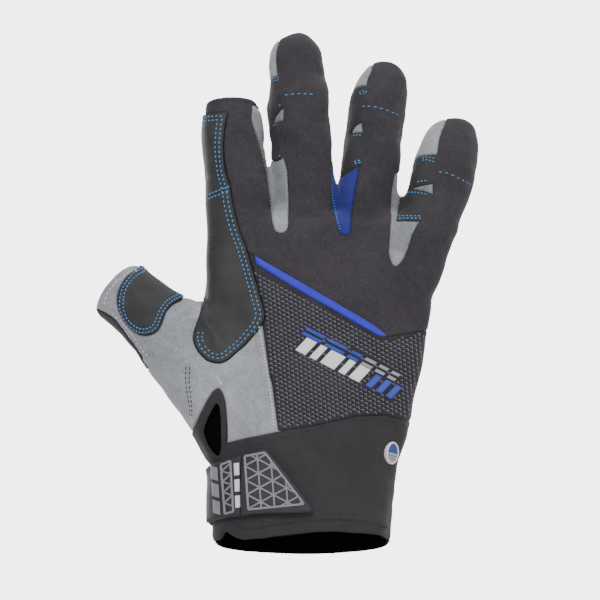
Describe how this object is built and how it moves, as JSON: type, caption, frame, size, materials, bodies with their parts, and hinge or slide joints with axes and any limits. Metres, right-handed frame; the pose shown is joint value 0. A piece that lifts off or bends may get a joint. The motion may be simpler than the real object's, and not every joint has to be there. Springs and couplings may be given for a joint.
{
  "type": "sailing glove",
  "caption": "Right-hand three-finger sailing glove with open index and thumb, padded grip panel, bound cuff vent and hook-and-loop wrist strap.",
  "frame": {"origin": "centre of the wrist opening, in the plane of the cuff's hem", "axes": "+Z from the cuff towards the fingertips, -Y out of the back of the hand, -X towards the thumb"},
  "size_m": [0.1766, 0.058, 0.2384],
  "materials": {
    "stretch_knit": "matt knitted stretch fabric",
    "grip_fabric": "matt, with small raised grip dots",
    "neoprene": "matt jersey-faced neoprene",
    "reinforcement": "smooth coated synthetic leather, low sheen",
    "suede": "napped synthetic suede",
    "blue_stretch": "satin stretch fabric",
    "blue_piping": "satin bound piping",
    "strap_web": "matt bonded fabric",
    "tab_rubber": "moulded rubber with a raised silver-grey lattice",
    "hook_loop": "hook and loop pile",
    "badge_plastic": "gloss moulded badge"
  },
  "bodies": {
    "hand": {"back_panel": "stretch_knit", "knuckle_piping": "blue_piping", "grip_panel": "grip_fabric", "side_panel": "suede", "palm_panel": "suede", "palm_overlay": "reinforcement", "thumb_gusset": "suede", "index_base_overlay": "reinforcement", "cuff_back": "neoprene", "cuff_palm": "neoprene", "cuff_hem": "neoprene", "vent_binding": "neoprene", "loop_patch": "hook_loop", "badge": "badge_plastic", "strap_anchor": "strap_web", "knuckle_back": "stretch_knit", "knuckle_palm": "suede", "knuckle_overlay": "reinforcement", "web_index_middle": "suede", "web_middle_ring": "blue_stretch", "web_ring_little": "suede"},
    "index_prox": {"index_back": "stretch_knit", "index_palm": "suede", "index_overlay": "reinforcement", "index_gusset": "suede"},
    "index_mid": {"index_end_back": "stretch_knit", "index_end_palm": "reinforcement"},
    "middle_prox": {"middle_back": "stretch_knit", "middle_palm": "suede", "middle_overlay": "reinforcement", "middle_gusset_radial": "suede", "middle_gusset_ulnar": "blue_stretch"},
    "middle_mid": {"middle_mid_back": "stretch_knit", "middle_mid_palm": "reinforcement"},
    "middle_tip": {"middle_tip_back": "stretch_knit", "middle_tip_palm": "suede"},
    "ring_prox": {"ring_back": "stretch_knit", "ring_palm": "suede", "ring_overlay": "reinforcement", "ring_gusset_radial": "blue_stretch", "ring_gusset_ulnar": "suede"},
    "ring_mid": {"ring_mid_back": "stretch_knit", "ring_mid_palm": "reinforcement"},
    "ring_tip": {"ring_tip_back": "stretch_knit", "ring_tip_palm": "suede"},
    "little_prox": {"little_back": "stretch_knit", "little_palm": "suede", "little_overlay": "reinforcement", "little_gusset": "suede"},
    "little_mid": {"little_mid_back": "stretch_knit", "little_mid_palm": "reinforcement"},
    "little_tip": {"little_tip_back": "stretch_knit", "little_tip_palm": "suede"},
    "thumb": {"thumb_back": "stretch_knit", "thumb_palm": "suede", "thumb_overlay": "reinforcement"},
    "strap": {"strap_band": "strap_web", "strap_keeper": "tab_rubber"},
    "strap_tab": {"pull_tab": "tab_rubber", "hook_patch": "hook_loop"}
  },
  "joints": [
    {"name": "index_knuckle", "type": "hinge", "parent": "hand", "child": "index_prox", "pos_m": [-0.0308, 0.0148, 0.17375], "axis": [-1, 0, 0], "range_deg": [0, 75]},
    {"name": "index_mid_joint", "type": "hinge", "parent": "index_prox", "child": "index_mid", "pos_m": [-0.03256, 0.01398, 0.1903], "axis": [-0.9986, 0, -0.0523], "range_deg": [0, 90]},
    {"name": "middle_knuckle", "type": "hinge", "parent": "hand", "child": "middle_prox", "pos_m": [0.0004, 0.01489, 0.17349], "axis": [-1, 0, 0], "range_deg": [0, 75]},
    {"name": "middle_mid_joint", "type": "hinge", "parent": "middle_prox", "child": "middle_mid", "pos_m": [-0.00176, 0.01495, 0.19883], "axis": [-0.9994, 0, -0.0349], "range_deg": [0, 90]},
    {"name": "middle_end_joint", "type": "hinge", "parent": "middle_mid", "child": "middle_tip", "pos_m": [-0.00364, 0.01546, 0.21719], "axis": [-0.9994, 0, -0.0349], "range_deg": [0, 80]},
    {"name": "ring_knuckle", "type": "hinge", "parent": "hand", "child": "ring_prox", "pos_m": [0.031, 0.01458, 0.16727], "axis": [-1, 0, 0], "range_deg": [0, 75]},
    {"name": "ring_mid_joint", "type": "hinge", "parent": "ring_prox", "child": "ring_mid", "pos_m": [0.03388, 0.01528, 0.19074], "axis": [-0.9976, 0, 0.0698], "range_deg": [0, 90]},
    {"name": "ring_end_joint", "type": "hinge", "parent": "ring_mid", "child": "ring_tip", "pos_m": [0.03622, 0.01691, 0.20599], "axis": [-0.9976, 0, 0.0698], "range_deg": [0, 80]},
    {"name": "little_knuckle", "type": "hinge", "parent": "hand", "child": "little_prox", "pos_m": [0.06126, 0.01418, 0.15681], "axis": [-0.9986, 0, 0.0523], "range_deg": [0, 75]},
    {"name": "little_mid_joint", "type": "hinge", "parent": "little_prox", "child": "little_mid", "pos_m": [0.06463, 0.01488, 0.16712], "axis": [-0.9877, 0, 0.1564], "range_deg": [0, 90]},
    {"name": "little_end_joint", "type": "hinge", "parent": "little_mid", "child": "little_tip", "pos_m": [0.06776, 0.01651, 0.17872], "axis": [-0.9848, 0, 0.1736], "range_deg": [0, 80]},
    {"name": "thumb_flex", "type": "hinge", "parent": "hand", "child": "thumb", "pos_m": [-0.06537, 0.01678, 0.10219], "axis": [-0.5446, 0, -0.8387], "range_deg": [0, 45]},
    {"name": "strap_peel", "type": "hinge", "parent": "hand", "child": "strap", "pos_m": [-0.04603, 0.00335, 0.0205], "axis": [0, 0, -1], "range_deg": [0, 105]},
    {"name": "tab_peel", "type": "hinge", "parent": "strap", "child": "strap_tab", "pos_m": [-0.02457, -0.02618, 0.0205], "axis": [0, 0, -1], "range_deg": [0, 60]}
  ],
  "couplings": [
    {"joint": "middle_end_joint", "follows": "middle_mid_joint", "ratio": 0.66},
    {"joint": "ring_end_joint", "follows": "ring_mid_joint", "ratio": 0.66},
    {"joint": "little_end_joint", "follows": "little_mid_joint", "ratio": 0.66}
  ]
}
